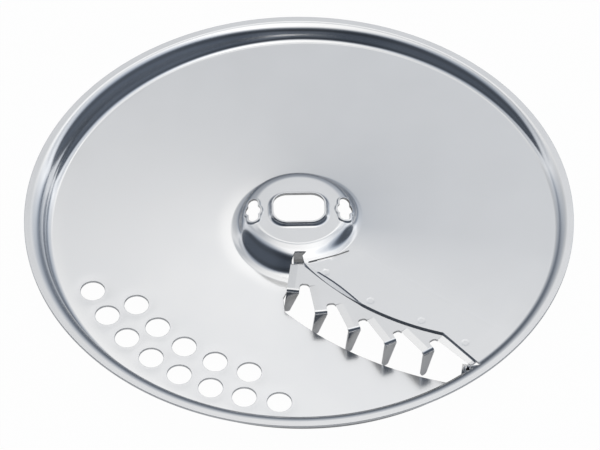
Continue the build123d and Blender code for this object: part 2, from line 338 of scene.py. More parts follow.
class Profile:
    """Upright cut through the top of the sheet, for an array of shares of the fall."""

    def __init__(self, share):
        self.rim_height = SEAT_DEPTH + RIM_DROP * share
        self.hub_height = HUB_RISE + SEAT_DEPTH + HUB_DROP * share
        self.rim_slope = wall_slope(self.rim_height, RIM_SHOULDER + RIM_FOOT)
        self.hub_slope = wall_slope(self.hub_height, HUB_SHOULDER + HUB_FOOT)
        rim_corner = SHOULDER_START - RIM_SHOULDER * np.tan(self.rim_slope / 2)
        hub_corner = HUB_TOP_RADIUS + HUB_SHOULDER * np.tan(self.hub_slope / 2)
        self.rim_foot = rim_corner - self.rim_height / np.tan(self.rim_slope)
        self.hub_foot = hub_corner + self.hub_height / np.tan(self.hub_slope)
        rise = HUB_RISE + self.rim_height - self.hub_height
        self.tilt = np.arctan2(rise, self.rim_foot - self.hub_foot)
        rim_length = RIM_FOOT * np.tan((self.rim_slope + self.tilt) / 2)
        hub_length = HUB_FOOT * np.tan((self.hub_slope - self.tilt) / 2)
        self.breaks = (
            SHOULDER_START - RIM_SHOULDER * np.sin(self.rim_slope),
            self.rim_foot + rim_length * np.cos(self.rim_slope),
            self.rim_foot - rim_length * np.cos(self.tilt),
            self.hub_foot + hub_length * np.cos(self.tilt),
            self.hub_foot - hub_length * np.cos(self.hub_slope),
            HUB_TOP_RADIUS + HUB_SHOULDER * np.sin(self.hub_slope),
        )

    def plate(self, radius):
        return RIM_TOP - self.rim_height + (self.rim_foot - radius) * np.tan(self.tilt)

    def height(self, radius):
        """Level of the sheet's top at each radius."""
        shoulder_end, foot_start, foot_end, hub_foot_start, hub_foot_end, hub_shoulder_end = self.breaks
        foot_middle = foot_end + RIM_FOOT * np.sin(self.tilt)
        hub_foot_middle = hub_foot_start + HUB_FOOT * np.sin(self.tilt)
        foot_level = self.plate(foot_end) + RIM_FOOT * np.cos(self.tilt)
        hub_foot_level = self.plate(hub_foot_start) + HUB_FOOT * np.cos(self.tilt)
        wall = RIM_TOP - self.rim_height + (radius - self.rim_foot) * np.tan(self.rim_slope)
        hub_wall = HUB_TOP - self.hub_height + (self.hub_foot - radius) * np.tan(self.hub_slope)
        return np.select(
            [
                radius >= SHOULDER_START,
                radius >= shoulder_end,
                radius >= foot_start,
                radius >= foot_end,
                radius >= hub_foot_start,
                radius >= hub_foot_end,
                radius >= hub_shoulder_end,
                radius >= HUB_TOP_RADIUS,
            ],
            [
                RIM_TOP,
                RIM_TOP - RIM_SHOULDER + bulge(RIM_SHOULDER, radius - SHOULDER_START),
                wall,
                foot_level - bulge(RIM_FOOT, radius - foot_middle),
                self.plate(radius),
                hub_foot_level - bulge(HUB_FOOT, radius - hub_foot_middle),
                hub_wall,
                HUB_TOP - HUB_SHOULDER + bulge(HUB_SHOULDER, radius - HUB_TOP_RADIUS),
            ],
            HUB_TOP,
        )


def bulge(bend, across):
    """Height of a round bend above its centre."""
    return np.sqrt(np.maximum(bend ** 2 - across ** 2, 0))


def weld_places():
    """Middles of the weld marks: along the bow of the plate's edge and on its straight outer end."""
    places = [teeth.on_edge(share, WELD_SETBACK) for share in WELD_PLACES]
    places.append(teeth.edge_corner + teeth.edge_run / 2 + left_of(teeth.edge_run) * WELD_SETBACK)
    return places


def drain_places():
    """Middles of the drain holes, in two rows about the axis."""
    places = []
    for radius, count, pitch in DRAIN_ROWS:
        for i in range(count):
            places.append(polar(radius, DRAIN_MIDDLE + (i - (count - 1) / 2) * pitch))
    return places


WELDS = weld_places()
DRAINS = drain_places()


def sheet_height(x, y):
    """Level of the sheet's top in plan, with its weld marks and the dips at the drain holes."""
    level = Profile(fall_share(x, y)).height(np.hypot(x, y))
    for weld_x, weld_y in WELDS:
        reach = np.hypot(x - weld_x, y - weld_y) / (WELD_WIDTH / 2)
        level = level - WELD_DEPTH * np.clip((1 - reach) / WELD_BORDER, 0, 1)
    for hole_x, hole_y in DRAINS:
        beyond = np.abs(np.hypot(x - hole_x, y - hole_y) - DRAIN_HOLE / 2)
        level = level - DRAIN_DIP * np.exp(-(beyond / DRAIN_DIP_REACH) ** 2)
    return level


def facet_depth(x, y):
    """How far the plate's bowed edge is pressed down: a facet behind a step, which runs out at both ends."""
    across, along = x - teeth.edge_centre[0], y - teeth.edge_centre[1]
    start = teeth.edge_start - teeth.edge_centre
    turned = np.degrees(np.arctan2(along, across)) - degrees(atan2(start[1], start[0]))
    share = np.clip(turned / (teeth.edge_turn * FACET_END), 0, 1)
    behind = teeth.edge_radius - np.hypot(across, along)
    ground = np.maximum(FACET_WIDTH * np.sin(pi * share) - np.abs(behind), 0)
    near = np.hypot(x, y) > HUB_TOP_RADIUS
    into_step = np.clip(ground / FACET_DROP_WIDTH, 0, 1)
    drop = FACET_DROP * into_step ** 2 * (3 - 2 * into_step)
    depth = drop + tan(radians(FACET_SLOPE)) * ground
    return np.where(near, depth, 0)


def top_height(x, y):
    """Level of the sheet's top face, with the facet along the plate's edge."""
    return sheet_height(x, y) - facet_depth(x, y)


def soft_slope(x, y):
    """Steepest slope in the shading: the hub's wall looks like a round wave, gentler over the seat."""
    azimuth = np.degrees(np.arctan2(y, x)) % 360
    over_seat = np.interp(azimuth, SEAT_SOFT_AZIMUTHS, SEAT_SOFT_SLOPES)
    steepest = np.where(azimuth < TEAR_SEAM, HUB_SOFT_SLOPE, over_seat)
    profile = Profile(fall_share(x, y))
    radius = np.hypot(x, y)
    down = np.clip((HUB_TOP - profile.height(radius)) / profile.hub_height, 0, 1)
    wave = np.maximum(steepest * np.sin(pi * down), PLATE_SLOPE)
    return np.where(radius < HUB_SOFT_RADIUS, wave, STEEP)


def sheet_points(plan, height=top_height):
    """Points on a face of the sheet over points in plan, and the normals there."""
    x, y = plan[:, 0], plan[:, 1]
    slope_x = (height(x + SLOPE_STEP, y) - height(x - SLOPE_STEP, y)) / (2 * SLOPE_STEP)
    slope_y = (height(x, y + SLOPE_STEP) - height(x, y - SLOPE_STEP)) / (2 * SLOPE_STEP)
    steepness = np.hypot(slope_x, slope_y)
    softened = np.minimum(1, soft_slope(x, y) / np.maximum(steepness, 1e-9))
    normals = np.column_stack([-slope_x * softened, -slope_y * softened, np.ones(len(plan))])
    normals /= np.linalg.norm(normals, axis=1)[:, None]
    return np.column_stack([x, y, height(x, y)]), normals


class Cut:
    """Closed outline with the sheet on its right, and the path of its edge from the top to the underside.

    Each step of the path has a distance from the outline, a depth below the sheet's top and a tilt.
    """

    def __init__(self, outline, reach, path):
        self.outline = np.asarray(outline)
        self.reach = reach
        self.path = path
        along = np.roll(self.outline, -1, axis=0) - np.roll(self.outline, 1, axis=0)
        along /= np.linalg.norm(along, axis=1)[:, None]
        self.away = np.column_stack([along[:, 1], -along[:, 0]])

    def offset(self, distance):
        return self.outline + distance * self.away


def plain_cut(outline, bend=EDGE_ROUND):
    """A cut whose upper edge is only broken."""
    path = []
    for tilt in np.linspace(0, pi / 2, BREAK_STEPS + 1)[1:]:
        path.append((bend * (1 - sin(tilt)), bend * (1 - cos(tilt)), tilt))
    path.append((0, SHEET - bend / 2, pi / 2))
    return Cut(outline, bend, path)


def turned_up_cut(outline, rise, wall, foot):
    """A cut whose edge is turned up into a collar: round foot, outer wall, rim, inner wall and bend below."""
    reach = wall + foot
    path = []
    for tilt in np.linspace(0, pi / 2, BEND_STEPS + 1)[1:]:
        path.append((wall + foot * (1 - sin(tilt)), -foot * (1 - cos(tilt)), -tilt))
    for tilt in np.linspace(-pi / 2, 0, COLLAR_STEPS):
        path.append((wall + EDGE_ROUND * (-1 - sin(tilt)), -rise + EDGE_ROUND * (1 - cos(tilt)), tilt))
    for tilt in np.linspace(0, pi / 2, COLLAR_STEPS):
        path.append((EDGE_ROUND * (1 - sin(tilt)), -rise + EDGE_ROUND * (1 - cos(tilt)), tilt))
    for turn in np.linspace(0, pi / 2, BEND_STEPS + 1)[:-1]:
        path.append((reach * (1 - cos(turn)), -foot + (foot + SHEET) * sin(turn), pi / 2 + turn))
    return Cut(outline, reach, path)


def round_hole(middle, diameter):
    return plain_cut(arc(middle, diameter / 2, np.add(middle, (diameter / 2, 0)), 360))


def opening():
    """The opening in front of the blade: from the tear in the hub along the lip, back behind the teeth."""
    gapped = zip((teeth.steps[0], teeth.steps[DIVIDERS // 2], teeth.steps[-1]), LIP_GAPS)
    on_lip = [tooth.tip + tooth.out * gap for tooth, gap in gapped]
    lip, lip_radius = circle_through(*on_lip)
    lip_end = circles_meet(lip, lip_radius, OPENING_END, on_lip[-1])
    edge_end = run_to_radius(teeth.edge_corner, teeth.edge_run, OPENING_END)
    tear = [TEAR_RIGHT, (TEAR_TOP[1], -TEAR_RADIUS), (TEAR_TOP[0], -TEAR_RADIUS), *SIDE_PATH, on_lip[0]]
    runs = [line(start, end) for start, end in zip(tear, tear[1:])]
    runs.append(arc(lip, lip_radius, on_lip[0], turn_between(lip, on_lip[0], lip_end, 1)))
    runs.append(arc((0, 0), OPENING_END, lip_end, turn_between((0, 0), lip_end, edge_end, 1)))
    runs.append(line(edge_end, teeth.edge_corner))
    runs.append(arc(teeth.edge_centre, teeth.edge_radius, teeth.edge_corner, -teeth.edge_turn))
    runs.append(line(teeth.edge_start, tear[0]))
    return plain_cut(np.concatenate(runs))


def circles_meet(centre, radius, axis_radius, near):
    """Where a circle meets a circle about the axis, nearest to a point."""
    distance = np.linalg.norm(centre)
    along = (axis_radius ** 2 - radius ** 2 + distance ** 2) / (2 * distance)
    across = sqrt(axis_radius ** 2 - along ** 2)
    towards = unit(centre)
    choices = [towards * along + left_of(towards) * side * across for side in (-1, 1)]
    return min(choices, key=lambda point: np.linalg.norm(point - near))


def drive_slot():
    """The drive slot, whose edge is turned up into a collar."""
    half_length = SLOT_LENGTH / 2 - SLOT_CORNER
    half_width = SLOT_WIDTH / 2 - SLOT_CORNER
    runs = []
    for i, (side_x, side_y) in enumerate(((1, 1), (-1, 1), (-1, -1), (1, -1))):
        middle = np.array([side_x * half_length, side_y * half_width])
        start = middle + polar(SLOT_CORNER, 90 * i)
        end = middle + polar(SLOT_CORNER, 90 * (i + 1))
        next_x, next_y = ((-1, 1), (-1, -1), (1, -1), (1, 1))[i]
        next_start = np.array([next_x * half_length, next_y * half_width]) + polar(SLOT_CORNER, 90 * (i + 1))
        runs.append(arc(middle, SLOT_CORNER, start, 90))
        runs.append(line(end, next_start))
    return turned_up_cut(np.concatenate(runs), COLLAR_RISE, COLLAR_WALL, COLLAR_FOOT)


def pin_hole(side):
    """A pin hole: a round hole with a relief on both sides of it."""
    middle = np.array([side * PIN_SPACING / 2, 0])
    half = PIN_RELIEF_WIDTH / 2
    reach = PIN_RELIEF_LENGTH / 2 - half
    shoulder = degrees(atan2(sqrt(PIN_HOLE ** 2 / 4 - half ** 2), half))
    runs = []
    for start, sign in ((-shoulder, 1), (180 - shoulder, -1)):
        hole_start = middle + polar(PIN_HOLE / 2, start)
        hole_end = middle + polar(PIN_HOLE / 2, start + 2 * shoulder)
        relief = middle + np.array([0, sign * reach])
        relief_start = relief + np.array([sign * half, 0])
        relief_end = relief - np.array([sign * half, 0])
        next_start = middle + polar(PIN_HOLE / 2, 180 + start)
        runs.append(arc(middle, PIN_HOLE / 2, hole_start, 2 * shoulder))
        runs.append(line(hole_end, relief_start))
        runs.append(arc(relief, half, relief_start, 180))
        runs.append(line(relief_end, next_start))
    return turned_up_cut(np.concatenate(runs), PIN_RISE, COLLAR_WALL, PIN_FOOT)


def hub_slit():
    """The narrow slit that frees the plate from the foot of the hub."""
    ends = [polar(*place) for place in SLIT_PATH]
    centre, radius = circle_through(*ends)
    sense = 1 if turn_between(centre, ends[0], ends[2], 1) < 180 else -1
    outer = radius + sense * SLIT_WIDTH / 2
    inner = radius - sense * SLIT_WIDTH / 2
    turn = turn_between(centre, ends[0], ends[2], sense)
    away = [unit(end - centre) for end in ends]
    runs = [
        arc(centre, outer, centre + away[0] * outer, turn),
        arc(ends[2], SLIT_WIDTH / 2, centre + away[2] * outer, 180),
        arc(centre, inner, centre + away[2] * inner, -turn),
        arc(ends[0], SLIT_WIDTH / 2, centre + away[0] * inner, 180),
    ]
    return plain_cut(np.concatenate(runs), EDGE_ROUND / 2)


def rim():
    """The outside of the flange, with the sheet inside it."""
    return plain_cut(arc((0, 0), RIM_RADIUS, (RIM_RADIUS, 0), -360))


def all_cuts():
    """Every outline in the sheet, the rim first."""
    cuts = [rim(), opening(), drive_slot(), pin_hole(-1), pin_hole(1), hub_slit()]
    cuts += [round_hole(place, DRAIN_HOLE) for place in DRAINS]
    return cuts


def ring_radii(profile):
    """Radii of the grid's rings in one upright cut, close together in the bends."""
    shoulder_end, foot_start, foot_end, hub_foot_start, hub_foot_end, hub_shoulder_end = profile.breaks
    foot_middle = foot_end + RIM_FOOT * sin(profile.tilt)
    hub_foot_middle = hub_foot_start + HUB_FOOT * sin(profile.tilt)
    shares = np.linspace(0, 1, BEND_STEPS, endpoint=False)
    rim_foot = np.linspace(profile.rim_slope, -profile.tilt, BEND_STEPS, endpoint=False)
    hub_foot = np.linspace(-profile.tilt, -profile.hub_slope, BEND_STEPS, endpoint=False)
    return np.concatenate([
        np.linspace(RIM_RADIUS - EDGE_ROUND, SHOULDER_START, FLANGE_STEPS, endpoint=False)[1:],
        SHOULDER_START - RIM_SHOULDER * np.sin(profile.rim_slope * shares),
        np.linspace(shoulder_end, foot_start, WALL_STEPS, endpoint=False),
        foot_middle + RIM_FOOT * np.sin(rim_foot),
        np.linspace(foot_end, hub_foot_start, PLATE_STEPS, endpoint=False),
        hub_foot_middle + HUB_FOOT * np.sin(hub_foot),
        np.linspace(hub_foot_end, hub_shoulder_end, WALL_STEPS, endpoint=False),
        HUB_TOP_RADIUS + HUB_SHOULDER * np.sin(profile.hub_slope * (1 - shares)),
        np.linspace(HUB_TOP_RADIUS, 0, HUB_STEPS, endpoint=False),
    ])


def grid_points():
    """Points of the sheet in plan: rings of plate, seat and weld marks, and rows of the facet."""
    points = []
    for azimuth in np.arange(0, 360, COLUMN_STEP):
        direction = polar(1, azimuth)
        column = np.linspace(HUB_TOP_RADIUS, RIM_RADIUS, PROBE_STEPS)[:, None] * direction
        for share in np.unique(fall_share(column[:, 0], column[:, 1])):
            spots = ring_radii(Profile(share))[:, None] * direction
            points.append(spots[np.isclose(fall_share(spots[:, 0], spots[:, 1]), share)])
    for place in WELDS:
        for share in WELD_RINGS:
            radius = share * WELD_WIDTH / 2
            points.append(arc(place, radius, np.add(place, (radius, 0)), 360))
    for share in np.linspace(*FACET_SPAN, FACET_COLUMNS) * FACET_END:
        width = FACET_WIDTH * sin(pi * share / FACET_END)
        for setback in width - FACET_DROP_WIDTH * np.array(FACET_ROWS):
            points.append(teeth.on_edge(share, setback)[None, :])
    return np.concatenate(points)


def inside(outline, points):
    """Which points lie inside a closed outline."""
    result = np.zeros(len(points), dtype=bool)
    low, high = outline.min(axis=0), outline.max(axis=0)
    near = np.nonzero(np.all((points > low) & (points < high), axis=1))[0]
    x, y = points[near, 0], points[near, 1]
    crossings = np.zeros(len(near), dtype=int)
    for (ax, ay), (bx, by) in zip(outline, np.roll(outline, -1, axis=0)):
        if ay != by:
            spans = (ay > y) != (by > y)
            crossings += spans & (x < ax + (bx - ax) * (y - ay) / (by - ay))
    result[near] = crossings % 2 == 1
    return result


def plan_mesh(cuts):
    """Triangles of the sheet in plan, with the place of every outline's points among the mesh's points."""
    outlines = [cut.offset(cut.reach) for cut in cuts]
    tree = kdtree.KDTree(sum(len(outline) for outline in outlines))
    for i, point in enumerate(np.concatenate(outlines)):
        tree.insert((*point, 0), i)
    tree.balance()
    grid = grid_points()
    grid = grid[[tree.find((*point, 0))[2] > CLEARANCE for point in grid]]
    points = np.concatenate(outlines + [grid])
    edges = []
    start = 0
    for outline in outlines:
        count = len(outline)
        edges += [(start + i, start + (i + 1) % count) for i in range(count)]
        start += count
    flat = [Vector(point) for point in points]
    found, _, faces, sources, _, _ = delaunay_2d_cdt(flat, edges, [], 0, 1e-5, True)
    plan = np.array([tuple(point) for point in found])
    place_of = {source: i for i, group in enumerate(sources) for source in group}
    faces = np.array(faces)
    middles = plan[faces].mean(axis=1)
    keep = inside(outlines[0], middles)
    for outline in outlines[1:]:
        keep &= ~inside(outline, middles)
    loops = []
    start = 0
    for outline in outlines:
        loops.append([place_of[start + i] for i in range(len(outline))])
        start += len(outline)
    return plan, faces[keep], loops


class Shell:
    """Corner points, faces and corner normals of a mesh that is put together piece by piece."""

    def __init__(self):
        self.points = []
        self.faces = []
        self.normals = []

    def add_points(self, points):
        start = len(self.points)
        self.points += [tuple(point) for point in points]
        return start

    def add_face(self, corners, normals):
        self.faces.append(tuple(int(corner) for corner in corners))
        self.normals += [tuple(normal) for normal in normals]

    def to_object(self, name):
        mesh = bpy.data.meshes.new(name)
        mesh.from_pydata([Vector(point) * MM for point in self.points], [], self.faces)
        mesh.polygons.foreach_set("use_smooth", [True] * len(self.faces))
        mesh.normals_split_custom_set(self.normals)
        piece = bpy.data.objects.new(name, mesh)
        bpy.context.scene.collection.objects.link(piece)
        return piece


def add_edge(shell, cut, loop, under):
    """Edge of one cut, from the top face over the sheet's thickness to the underside."""
    _, up = sheet_points(cut.outline, sheet_height)
    towards = np.column_stack([-cut.away, np.zeros(len(loop))])
    rows = [np.array(loop)]
    normals = [up]
    for distance, depth, tilt in cut.path:
        spots = cut.offset(distance)
        surface, _ = sheet_points(spots, sheet_height)
        ground = facet_depth(spots[:, 0], spots[:, 1])
        lowered = np.where(ground > 0, np.maximum(depth, ground + EDGE_LEFT), depth)
        start = shell.add_points(surface - lowered[:, None] * up)
        rows.append(np.arange(start, start + len(loop)))
        facing = towards * sin(tilt) + up * cos(tilt)
        normals.append(facing / np.linalg.norm(facing, axis=1)[:, None])
    rows.append(np.array(loop) + under)
    normals.append(-up)
    count = len(loop)
    for row in range(len(rows) - 1):
        for i in range(count):
            j = (i + 1) % count
            corners = ((row, i), (row, j), (row + 1, j), (row + 1, i))
            shell.add_face([rows[a][b] for a, b in corners], [normals[a][b] for a, b in corners])


def pressed_disc():
    """The pressed sheet as one closed mesh with its top, underside and cut edges."""
    cuts = all_cuts()
    plan, faces, loops = plan_mesh(cuts)
    top, top_normals = sheet_points(plan)
    pressed, normals = sheet_points(plan, sheet_height)
    shell = Shell()
    shell.add_points(top)
    under = shell.add_points(pressed - SHEET * normals)
    for face in faces:
        shell.add_face(face, top_normals[face])
        shell.add_face(face[::-1] + under, -normals[face[::-1]])
    for cut, loop in zip(cuts, loops):
        add_edge(shell, cut, loop, under)
    return shell.to_object("pressed_disc")


def rounded(points, radii):
    """Closed outline through corner points, each with its own rounding."""
    points = [np.asarray(point, dtype=float) for point in points]
    runs = []
    for i, (corner, radius) in enumerate(zip(points, radii)):
        before = unit(points[i - 1] - corner)
        after = unit(points[(i + 1) % len(points)] - corner)
        if radius == 0:
            runs.append([corner])
            continue
        half = acos(before @ after) / 2
        centre = corner + unit(before + after) * radius / sin(half)
        start = corner + before * radius / tan(half)
        sense = 1 if before[0] * after[1] - before[1] * after[0] < 0 else -1
        turn = sense * (180 - degrees(2 * half))
        angles = np.radians(np.linspace(0, turn, ROUND_STEPS + 1))
        first = atan2(start[1] - centre[1], start[0] - centre[0])
        runs.append(centre + radius * np.column_stack([np.cos(first + angles), np.sin(first + angles)]))
    return runs


def at_level(plan, level):
    return np.array([plan[0], plan[1], level])


class BladeShell(Shell):
    """A mesh of flat faces and bends, whose faces bring their own points."""

    def flat(self, corners):
        """One flat face with the normal of its own outline."""
        corners = np.array(corners)
        around = np.roll(corners, -1, axis=0)
        normal = unit(np.cross(corners, around).sum(axis=0))
        start = self.add_points(corners)
        self.add_face(range(start, start + len(corners)), [normal] * len(corners))

    def bent(self, corners, normals):
        start = self.add_points(corners)
        self.add_face(range(start, start + len(corners)), normals)


def divider_rows():
    """Rows down a bent finger: its outside and inside, where it starts and ends across, and its normal."""
    length = BLADE_TOP - TIP_LEVEL
    inside_radius = BEND_RADIUS - BLADE_SHEET
    rows = []
    for angle in np.radians(np.linspace(0, 90, BEND_STEPS + 1)):
        outside = (BEND_RADIUS * sin(angle), BEND_RADIUS * (1 - cos(angle)))
        inside = (inside_radius * sin(angle), BLADE_SHEET + inside_radius * (1 - cos(angle)))
        rows.append((outside, inside, 0.0, DIVIDER_WIDTH, (sin(angle), cos(angle))))
    straight = np.linspace(BEND_RADIUS, length - TIP_ROUND, DIVIDER_STEPS + 1)[1:]
    turned = np.linspace(0, pi / 2, TIP_STEPS + 1)[1:]
    round_end = length - TIP_ROUND * (1 - np.sin(turned))
    for depth in np.concatenate([straight, round_end]):
        share = (depth - BEND_RADIUS) / (length - BEND_RADIUS)
        into_round = max(depth - (length - TIP_ROUND), 0)
        inset = TIP_ROUND - sqrt(max(TIP_ROUND ** 2 - into_round ** 2, 0))
        left = -TIP_LEAD * share + inset
        right = DIVIDER_WIDTH + (TIP_WIDTH - TIP_LEAD - DIVIDER_WIDTH) * share - inset
        rows.append(((BEND_RADIUS, depth), (inside_radius, depth), left, right, (1.0, 0.0)))
    return rows


def add_divider(shell, tooth):
    """The bent finger of one tooth: outside, inside, both narrow sides and the end."""

    def spot(place, across):
        return at_level(tooth.tip + tooth.out * place[0] + tooth.back * across, BLADE_TOP - place[1])

    rows = divider_rows()
    for upper, lower in zip(rows, rows[1:]):
        outside_a, inside_a, left_a, right_a, facing_a = upper
        outside_b, inside_b, left_b, right_b, facing_b = lower
        normal_a = at_level(tooth.out * facing_a[0], facing_a[1])
        normal_b = at_level(tooth.out * facing_b[0], facing_b[1])
        outer = [spot(outside_a, right_a), spot(outside_a, left_a)]
        outer += [spot(outside_b, left_b), spot(outside_b, right_b)]
        inner = [spot(inside_a, left_a), spot(inside_a, right_a)]
        inner += [spot(inside_b, right_b), spot(inside_b, left_b)]
        shell.bent(outer, [normal_a, normal_a, normal_b, normal_b])
        shell.bent(inner, [-normal_a, -normal_a, -normal_b, -normal_b])
        shell.flat([outer[1], inner[0], inner[3], outer[2]])
        shell.flat([inner[1], outer[0], outer[3], inner[2]])
    outside, inside, left, right, _ = rows[-1]
    shell.flat([spot(outside, right), spot(outside, left), spot(inside, left), spot(inside, right)])


def strip_outline():
    """Runs of the strip's outline, one for each corner: from the tab over the teeth and back."""
    last = teeth.steps[-1]
    back_corner = teeth.edge_corner + left_of(teeth.edge_run) * SEAT_OVERLAP
    back_end = run_to_radius(back_corner, teeth.edge_run, BLADE_END)
    points = [(TAB_WIDTH - TAB_LEFT, -TAB_END), (-TAB_LEFT, -TAB_END), (-TAB_LEFT, TAB_CORNER[1]), TAB_CORNER]
    corners = [STRIP_CORNER, STRIP_CORNER, 0, 0]
    for tooth in teeth.steps:
        points += [tooth.tip, tooth.bend_end, tooth.notch_near, tooth.notch_far]
        corners += [0, 0, NOTCH_CORNER, NOTCH_CORNER]
    points += [teeth.blade_corner, back_end, back_corner, teeth.on_edge(BACK_START, SEAT_OVERLAP)]
    points.append((TAB_WIDTH - TAB_LEFT, -TEAR_RADIUS))
    corners += [STRIP_CORNER, STRIP_CORNER, 0, STRIP_CORNER, 0]
    return rounded(points, corners)


def add_side(shell, start, end, high, low):
    """Upright face between two points in plan, from one level down to another."""
    shell.flat([at_level(end, high), at_level(start, high), at_level(start, low), at_level(end, low)])


def add_ground_edge(shell, start, end, inner_start, inner_end):
    """A cutting edge: honed a little on top and ground on the underside."""
    upper = [at_level(inner_end, BLADE_TOP), at_level(inner_start, BLADE_TOP)]
    lower = [at_level(inner_start, BLADE_LOW), at_level(inner_end, BLADE_LOW)]
    shell.flat(upper + [at_level(start, HONED_LEVEL), at_level(end, HONED_LEVEL)])
    add_side(shell, start, end, HONED_LEVEL, GROUND_LEVEL)
    shell.flat([at_level(end, GROUND_LEVEL), at_level(start, GROUND_LEVEL)] + lower)
    shell.flat([at_level(start, BLADE_TOP), at_level(start, HONED_LEVEL), upper[1]])
    shell.flat([at_level(end, HONED_LEVEL), at_level(end, BLADE_TOP), upper[0]])
    shell.flat([at_level(start, GROUND_LEVEL), at_level(start, BLADE_LOW), lower[0]])
    shell.flat([at_level(end, BLADE_LOW), at_level(end, GROUND_LEVEL), lower[1]])


def stepped_blade():
    """The blade: a flat strip with ground cutting edges, and a finger bent down at every tooth."""
    shell = BladeShell()
    runs = strip_outline()
    root_after = [TAB_POINTS + TOOTH_POINTS * i for i in range(DIVIDERS)]
    ground_after = [TAB_POINTS + TOOTH_POINTS * i - 1 for i in range(DIVIDERS + 1)]
    outline = []
    for i, run in enumerate(runs):
        for a, b in zip(run, run[1:]):
            outline.append(a)
            add_side(shell, a, b, BLADE_TOP, BLADE_LOW)
        start = run[-1]
        end = runs[(i + 1) % len(runs)][0]
        outline.append(start)
        if i in ground_after:
            inward = left_of(end - start) * BEVEL_WIDTH
            outline += [start + inward, end + inward]
            add_ground_edge(shell, start, end, start + inward, end + inward)
        elif i not in root_after:
            add_side(shell, start, end, BLADE_TOP, BLADE_LOW)
    shell.flat([at_level(point, BLADE_TOP) for point in outline])
    shell.flat([at_level(point, BLADE_LOW) for point in outline[::-1]])
    for tooth in teeth.steps:
        add_divider(shell, tooth)
    return shell.to_object("stepped_blade")


def new_material(name):
    material = bpy.data.materials.new(name)
    material.use_nodes = True
    return material, material.node_tree.nodes, material.node_tree.links


def math_node(nodes, operation, value=None):
    node = nodes.new("ShaderNodeMath")
    node.operation = operation
    if value is not None:
        node.inputs[1].default_value = value
    return node


def vector_node(nodes, operation):
    node = nodes.new("ShaderNodeVectorMath")
    node.operation = operation
    return node


def map_range(nodes, source, target, interpolation="SMOOTHSTEP"):
    node = nodes.new("ShaderNodeMapRange")
    node.interpolation_type = interpolation
    for name, value in zip(("From Min", "From Max", "To Min", "To Max"), source + target):
        node.inputs[name].default_value = value
    return node


def noise(nodes, scale, detail):
    node = nodes.new("ShaderNodeTexNoise")
    node.inputs["Scale"].default_value = scale
    node.inputs["Detail"].default_value = detail
    return node


def ramp(nodes, stops):
    """Colour ramp from places between 0 and 1, cooler in its darker tones."""
    node = nodes.new("ShaderNodeValToRGB")
    elements = node.color_ramp.elements
    while len(elements) < len(stops):
        elements.new(0.5)
    for element, (place, value) in zip(elements, stops):
        element.position = place
        shade = 1 - min(value / COOL_BELOW, 1)
        element.color = (*[value * (1 + shade * tint) for tint in COOL], 1)
    return node


def colour_mix(nodes, blend):
    node = nodes.new("ShaderNodeMix")
    node.data_type = "RGBA"
    node.blend_type = blend
    node.inputs["Factor"].default_value = 1
    return node


def cloudy_tint(nodes, colour):
    """The steel's colour, a little darker in its clouds."""
    tint = nodes.new("ShaderNodeValToRGB")
    shades = ([CLOUD_SHADE * value for value in colour], colour)
    for element, place, shade in zip(tint.color_ramp.elements, CLOUD_RANGE, shades):
        element.position = place
        element.color = (*shade, 1)
    return tint


def satin_ring(nodes, links, place, satin):
    """Added roughness of the flat ring between the hub and the rim."""
    flat = vector_node(nodes, "MULTIPLY")
    flat.inputs[1].default_value = (1, 1, 0)
    radius = vector_node(nodes, "LENGTH")
    from_hub = map_range(nodes, SATIN_HUB, (0, satin))
    to_rim = map_range(nodes, SATIN_RIM, (1, 0))
    ring = math_node(nodes, "MULTIPLY")
    links.new(place, flat.inputs[0])
    links.new(flat.outputs["Vector"], radius.inputs[0])
    links.new(radius.outputs["Value"], from_hub.inputs["Value"])
    links.new(radius.outputs["Value"], to_rim.inputs["Value"])
    links.new(from_hub.outputs["Result"], ring.inputs[0])
    links.new(to_rim.outputs["Result"], ring.inputs[1])
    return ring.outputs[0]


def fine_grain(nodes, links, place):
    """Slight unevenness of rolled sheet."""
    grain = noise(nodes, *GRAIN)
    bump = nodes.new("ShaderNodeBump")
    bump.inputs["Strength"].default_value = GRAIN_STRENGTH
    bump.inputs["Distance"].default_value = GRAIN_HEIGHT
    links.new(place, grain.inputs["Vector"])
    links.new(grain.outputs["Fac"], bump.inputs["Height"])
    return bump.outputs["Normal"]


def steel(name, colour, smooth, rough, satin):
    """Bright rolled steel with fine grain: its gloss wanders, and its flat ring is more satin."""
    material, nodes, links = new_material(name)
    shader = nodes["Principled BSDF"]
    shader.inputs["Metallic"].default_value = 1.0
    place = nodes.new("ShaderNodeTexCoord").outputs["Object"]
    clouds = noise(nodes, *CLOUDS)
    gloss = map_range(nodes, CLOUD_RANGE, (smooth, rough), "LINEAR")
    tint = cloudy_tint(nodes, colour)
    roughness = math_node(nodes, "ADD")
    links.new(place, clouds.inputs["Vector"])
    links.new(clouds.outputs["Fac"], gloss.inputs["Value"])
    links.new(clouds.outputs["Fac"], tint.inputs["Fac"])
    links.new(gloss.outputs["Result"], roughness.inputs[0])
    links.new(satin_ring(nodes, links, place, satin), roughness.inputs[1])
    links.new(tint.outputs["Color"], shader.inputs["Base Color"])
    links.new(roughness.outputs[0], shader.inputs["Roughness"])
    links.new(fine_grain(nodes, links, place), shader.inputs["Normal"])
    return material


